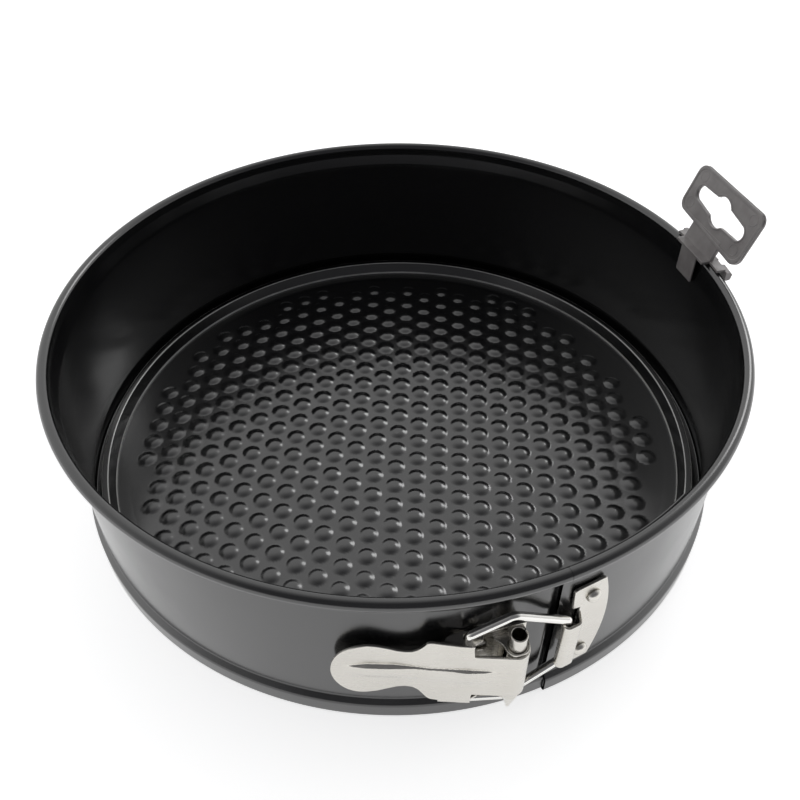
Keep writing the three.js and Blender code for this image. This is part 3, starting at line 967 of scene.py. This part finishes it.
BRACKET_RIVET = {"head": 2.2, "dome": 1.2, "shank": 1.2, "end": -0.95}
BRACKET_RIVET_X = -9.5
CATCH_RIVET = {"head": 2.5, "dome": 2.0, "shank": 1.3, "end": -0.7}
bracket_rivet_z = sum(cad_mm("bracket_rivet_upper"))[2] / 2 - LATCH_Z
for name, sign in (("upper", 1), ("lower", -1)):
    at_bracket = wall_pin @ move(BRACKET_RIVET_X, 0, sign * bracket_rivet_z)
    at_catch = wall_catch @ move(0, 0, sign * RIVET_Z)
    for plate_name, body, at, sizes in (
        ("bracket", "band_left", at_bracket, BRACKET_RIVET),
        ("catch", "band_right", at_catch, CATCH_RIVET),
    ):
        made = rivet(f"{plate_name}_rivet_{name}_domed", at, **sizes)
        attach(made, body)
        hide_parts(f"{plate_name}_rivet_{name}")

low, high = cad_mm("hinge_pin")
pin_half = (high[2] - low[2]) / 2
PIN_R, PIN_BORE = 2.7, 2.1
PIN_SLIT, PIN_SLIT_TURN = math.radians(5), math.radians(20)
PIN_TAPER_Z, PIN_TIP_Z = -17.5, -26.5
pin_loop = rounded_path(
    [
        (PIN_BORE, 0),
        (PIN_BORE, PIN_TAPER_Z),
        (0.1, PIN_TIP_Z + 0.6),
        (0.5, PIN_TIP_Z),
        (PIN_R, PIN_TAPER_Z),
        (PIN_R, pin_half),
        (PIN_BORE, pin_half),
        (PIN_BORE, 0),
    ],
    [0.3, 0.1, 0.1, 0.8, 0.25, 0.25],
    4,
)[:-1]
pin_matrix = at_pin @ turn_z(PIN_SLIT_TURN)
pin = turned_solid("hinge_pin_rolled", SHEET_NICKEL, densify(pin_loop, 6), pin_matrix, 48, PIN_SLIT)
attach(pin, "band_left")
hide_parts("hinge_pin")


# ---- Wire bail ----
def tube(name, material, corners, bend, radius, matrix):
    """A round wire along a polyline with rounded corners and slightly rounded ends."""
    path = densify(rounded_path(corners, [bend] * (len(corners) - 2), 10), 2.5)
    tangent = np.gradient(path, axis=0)
    tangent /= np.linalg.norm(tangent, axis=1, keepdims=True)
    side = np.array([0.0, 1.0, 0.0])
    other = np.cross(tangent, side)
    turns = np.linspace(0, 2 * math.pi, 20, endpoint=False)
    normals = side * np.cos(turns)[None, :, None] + other[:, None, :] * np.sin(turns)[None, :, None]
    rounding = [(0.0, 0.02), (0.1, 0.55), (0.3, 0.86), (0.6, 1.0)]
    points = path[:, None, :] + radius * normals
    starts = [path[0] + tangent[0] * s * radius + radius * k * normals[0] for s, k in rounding]
    ends = [path[-1] - tangent[-1] * s * radius + radius * k * normals[-1] for s, k in rounding[::-1]]
    points = np.concatenate([starts, points[1:-1], ends])
    shell = Shell()
    out = grid_normals(points, False, True)
    index = shell.grid(points, out, wrap_v=True)
    shell.cap(index[0, ::-1], -tangent[0])
    shell.cap(index[-1], tangent[-1])
    return shell.build(name, material, matrix)


WIRE = 1.35
WIRE_BEND = 2.0
BEND_FROM_LINK = 12.8
OUT_LINK, OUT_BEND, OUT_CROSSBAR = 0.6, 1.8, 1.3  # out from the plane of the linkage's pivots
WIRE_BEND_Z, CROSSBAR_Z = 23.4, 11.4
LINK_Z_UPPER, LINK_Z_LOWER = (13.0, 16.8), (-16.0, -19.8)  # inside the ear and past it
link_at = (lever_frame @ np.array([*LINK_AT, 0, 1]))[:3]
to_link = link_at - CROSSBAR_AT
reach = math.hypot(to_link[0], to_link[1])
bail_frame = move(*CROSSBAR_AT) @ turn_z(math.atan2(to_link[1], to_link[0]))
bail = tube(
    "wire_bail_bent",
    WIRE_NICKEL,
    [
        (reach, OUT_LINK, LINK_Z_UPPER[0]),
        (reach, OUT_LINK, LINK_Z_UPPER[1]),
        (reach - BEND_FROM_LINK, OUT_BEND, WIRE_BEND_Z),
        (0, OUT_CROSSBAR, CROSSBAR_Z),
        (0, OUT_CROSSBAR, -CROSSBAR_Z),
        (reach - BEND_FROM_LINK, OUT_BEND, -WIRE_BEND_Z),
        (reach, OUT_LINK, LINK_Z_LOWER[1]),
        (reach, OUT_LINK, LINK_Z_LOWER[0]),
    ],
    WIRE_BEND,
    WIRE,
    bail_frame,
)
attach(bail, "wire")
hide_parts("wire_bail")


# ---- Catch plate ----
CATCH_HALF = 21.7
CATCH_LEFT, CATCH_LEFT_LOW, NOTCH_X = -7.4, -6.4, -4.3
CATCH_RIGHT, CATCH_BULGE = 4.0, 6.8
HOOK_TOP, HOOK_BOTTOM = 10.5, 12.2
HOOK_OUT, HOOK_LEFT, HOOK_SHEET = -4.75, -10.8, 0.9
right_edge = [
    (CATCH_RIGHT + CATCH_BULGE * 2 * t * (1 - t), -CATCH_HALF + 2 * CATCH_HALF * t)
    for t in np.linspace(0, 1, 15)
]
catch_outline = smooth_outline(
    [
        (NOTCH_X, 11.6),
        (NOTCH_X, -16.2),
        (CATCH_LEFT_LOW, -16.8),
        (CATCH_LEFT_LOW, -CATCH_HALF),
        *right_edge,
        (CATCH_LEFT, CATCH_HALF),
        (-6.9, 12.1),
    ],
    [0.3, 0.6, 0.8, 1.2, 0.8, *[0.2] * (len(right_edge) - 2), 0.8, 1.2, 0.7],
)
catch_parts = [
    plate(
        "catch",
        SHEET_NICKEL,
        catch_outline,
        PLATE_SHEET,
        0.22,
        wall_catch @ move(0, -PLATE_GAP, 0) @ ON_WALL,
    )
]
hook_path = rounded_path(
    [(-3.7, -0.8), (-5.9, HOOK_OUT), (HOOK_LEFT, HOOK_OUT), (HOOK_LEFT, -2.6)], [1.2, 1.5], 6
)
hook_section = sheet_loop(densify(hook_path, 2), HOOK_SHEET / 2)
catch_parts.append(
    plate(
        "hook",
        SHEET_NICKEL,
        [tuple(p) for p in hook_section],
        HOOK_TOP + HOOK_BOTTOM,
        0.15,
        wall_catch @ move(0, 0, LATCH_Z - CATCH_Z - HOOK_BOTTOM),
    )
)
catch = merge(catch_parts, "catch_plate_formed")
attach(catch, "band_right")
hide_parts("catch_plate")


# ---- Retail hanger ----
HANGER_TURN = math.radians(-7)
TAG_TILT = math.radians(20)
TAG_FOOT = (126.4, 0, HEIGHT + 0.65)
STEM, STEM_HALF = 8.6, 9.7
TAG, TAG_HALF, TAG_SKEW, TAG_CORNER = 19.5, 22.0, 3.0, 4.0
TAG_MIDDLE = STEM + TAG / 2
SLOT_HALF, SLOT_END, SLOT_BULGE, SLOT_SKEW = 3.0, 14.0, 6.0, 0.05
MARKS = ((-16.6, 2.2), (17, 4.2), (-17.2, 15.6), (17, 15.6))
INNER_X = BASE_R + 0.4
TAB_HALF, TAB_BOTTOM, TAB_TOP = 5.5, HEIGHT - 10.9, HEIGHT + 1
LEG_R = RIM + 0.5
LEGS = ((-18.5, -12.5), (12.0, 15.0))
SPAN = (-16.5, 14.0)
hanger_frame = turn_z(HANGER_TURN)
tag_up = np.array([math.sin(TAG_TILT), 0, math.cos(TAG_TILT)])
tag_frame = hanger_frame @ frame_matrix((0, 1, 0), tag_up, np.cross([0, 1, 0], tag_up), TAG_FOOT)
ACROSS = frame_matrix((0, 1, 0), (0, 0, 1), (1, 0, 0), (0, 0, 0))
tag_outline = smooth_outline(
    [
        (-TAG_HALF, STEM - TAG_SKEW),
        (TAG_HALF, STEM),
        (TAG_HALF, STEM + TAG),
        (-TAG_HALF, STEM + TAG),
    ],
    TAG_CORNER,
    8,
)


def arc(x, y, radius_x, radius_y, start, end, count):
    """Points on part of an ellipse, between two angles in degrees."""
    turns = [math.radians(a) for a in np.linspace(start, end, count)]
    return [(x + radius_x * math.cos(a), y + radius_y * math.sin(a)) for a in turns]


def euro_slot(grow):
    """The hang slot: a long slot with a wider middle, slanting a little with the tag."""
    half, bulge = SLOT_HALF + grow, SLOT_BULGE + grow
    ring = arc(SLOT_END, TAG_MIDDLE, half, half, -90, 90, 11)
    ring += arc(0, TAG_MIDDLE, bulge * 1.05, bulge, 40, 140, 13)
    ring += arc(-SLOT_END, TAG_MIDDLE, half, half, 90, 270, 11)
    ring += arc(0, TAG_MIDDLE, bulge * 1.05, bulge, 220, 320, 13)
    return [(x, y - SLOT_SKEW * (SLOT_END - x)) for x, y in ring]


def inset(outline, amount):
    """The tag's outline drawn in towards its middle."""
    half_x, half_y = TAG_HALF, TAG / 2
    return [
        (x * (half_x - amount) / half_x, TAG_MIDDLE + (y - TAG_MIDDLE) * (half_y - amount) / half_y)
        for x, y in outline
    ]


def moulding(name, outline, thickness, edge, matrix, holes=()):
    """A plate of the hanger's plastic."""
    return plate(name, PLASTIC, outline, thickness, edge, matrix, [hole[::-1] for hole in holes])


def rectangle(x0, y0, x1, y1, corner):
    """A closed outline from two opposite corners, with rounded corners."""
    return smooth_outline([(x0, y0), (x1, y0), (x1, y1), (x0, y1)], corner, 3)


def curved_bar(name, section, radii, start, end, count):
    """A bar that follows the rim between two distances round it from the hanger's middle."""
    angles = np.linspace(math.asin(start / LEG_R), math.asin(end / LEG_R), count)
    loop = rounded_path([(LEG_R + out, HEIGHT + up) for out, up in section], radii, 3)[:-1]
    return swept(angles + QUARTER + HANGER_TURN, no_offset, loop).build(name, PLASTIC)


slot = euro_slot(0)
stem_outline = rectangle(-STEM_HALF, 0.2, STEM_HALF, STEM + 0.8, 0.3)
bridge_outline = rectangle(INNER_X, -STEM_HALF, RIM + 1.2, STEM_HALF, 0.4)
tab_outline = rectangle(-TAB_HALF, TAB_BOTTOM, TAB_HALF, TAB_TOP, 0.5)
hanger_parts = [
    moulding("tag", tag_outline, 1.25, 0.25, tag_frame @ move(0, 0, 0.2), [slot]),
    moulding("tag_rim", tag_outline, 2.1, 0.3, tag_frame, [inset(tag_outline, 1.3)]),
    moulding("slot_rim", euro_slot(0.9), 2.0, 0.25, tag_frame, [slot]),
    moulding("stem", stem_outline, 1.6, 0.25, tag_frame @ move(0, 0, 0.1)),
    moulding("bridge", bridge_outline, 1.25, 0.25, hanger_frame @ move(0, 0, HEIGHT + 0.35)),
    moulding("tab", tab_outline, 0.65, 0.15, hanger_frame @ ACROSS @ move(0, 0, INNER_X)),
]
for x, y in MARKS:
    mark, hollow = (circle(radius, x, STEM + y) for radius in (2.4, 2.0))
    hanger_parts.append(
        moulding("ejector_mark", mark, 1.7, 0.1, tag_frame @ move(0, 0, 0.12), [hollow])
    )
leg_section = [(0, -1), (0, -2.4), (2.2, -1.9), (2.6, 1.0), (0, 1.4), (0, -1)]
for start, end in LEGS:
    hanger_parts.append(curved_bar("leg", leg_section, [0.3, 0.8, 0.8, 0.3], start, end, 12))
span_section = [(-3.2, 1.0), (-3.2, 0.4), (0.6, 0.4), (0.6, 1.5), (-3.2, 1.5), (-3.2, 1.0)]
hanger_parts.append(curved_bar("span", span_section, [0.2] * 4, *SPAN, 26))
hanger = merge(hanger_parts, "rim_hanger_moulded")
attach(hanger, "hanger")
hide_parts("rim_hanger")


# ---- Floor, light and camera ----
FLOOR_HALF, FLOOR_Z = 6.0, -0.0002  # metres
floor_material, floor_shader = new_material("floor", (0.86, 0.86, 0.86), 0, 0.7)
floor_shader.inputs["Emission Color"].default_value = (1, 1, 1, 1)
floor_shader.inputs["Emission Strength"].default_value = 0.7
floor_mesh = bpy.data.meshes.new("floor")
floor_corners = [(x * FLOOR_HALF, y * FLOOR_HALF, FLOOR_Z) for x, y in ((-1, -1), (1, -1), (1, 1), (-1, 1))]
floor_mesh.from_pydata(floor_corners, [], [(0, 1, 2, 3)])
floor_mesh.materials.append(floor_material)
floor = bpy.data.objects.new("floor", floor_mesh)
bpy.context.scene.collection.objects.link(floor)

# The sky is white behind the pan and darker towards the camera, so that the far wall stays dark.
world = bpy.data.worlds.new("studio")
bpy.context.scene.world = world
world.use_nodes = True
tree = world.node_tree
background = tree.nodes["Background"]
where = tree.nodes.new("ShaderNodeTexCoord")
facing = tree.nodes.new("ShaderNodeVectorMath")
facing.operation = "DOT_PRODUCT"
facing.inputs[1].default_value = (-0.2, -0.8, 0.55)
ramp = tree.nodes.new("ShaderNodeValToRGB")
tree.links.new(where.outputs["Generated"], facing.inputs[0])
tree.links.new(facing.outputs["Value"], ramp.inputs["Fac"])
tree.links.new(ramp.outputs["Color"], background.inputs["Color"])
ramp.color_ramp.elements[0].position = 0.0
ramp.color_ramp.elements[0].color = (1, 1, 1, 1)
ramp.color_ramp.elements[1].position = 0.75
ramp.color_ramp.elements[1].color = (0.16, 0.16, 0.17, 1)
background.inputs["Strength"].default_value = 1.0


def softbox(name, at, size, power, look=(0, 0, 0.03)):
    """A square area light aimed at a point; lengths are in metres."""
    light = bpy.data.lights.new(name, "AREA")
    light.shape = "SQUARE"
    light.size = size
    light.energy = power
    made = bpy.data.objects.new(name, light)
    bpy.context.scene.collection.objects.link(made)
    made.location = at
    made.rotation_mode = "QUATERNION"
    made.rotation_quaternion = (Vector(look) - Vector(at)).to_track_quat("-Z", "Y")
    return made


softbox("softbox_right", (1.1, 0.6, 0.95), 0.5, 3.2)

camera_data = bpy.data.cameras.new("camera")
camera_data.sensor_width = 36
camera_data.lens = 38.25
camera_data.clip_start = 0.01
camera = bpy.data.objects.new("camera", camera_data)
bpy.context.scene.collection.objects.link(camera)
camera_at = Vector((-0.097259, -0.234804, 0.26722))
forward = Vector((0.27898, 0.66183, -0.69581)).normalized()
right = Vector((0.91931, -0.39350, -0.00569))
right = (right - right.dot(forward) * forward).normalized()
axes = Matrix((right, right.cross(forward), -forward)).transposed()
camera.matrix_world = Matrix.Translation(camera_at) @ axes.to_4x4()
bpy.context.scene.camera = camera
bpy.context.scene.view_settings.view_transform = "Standard"
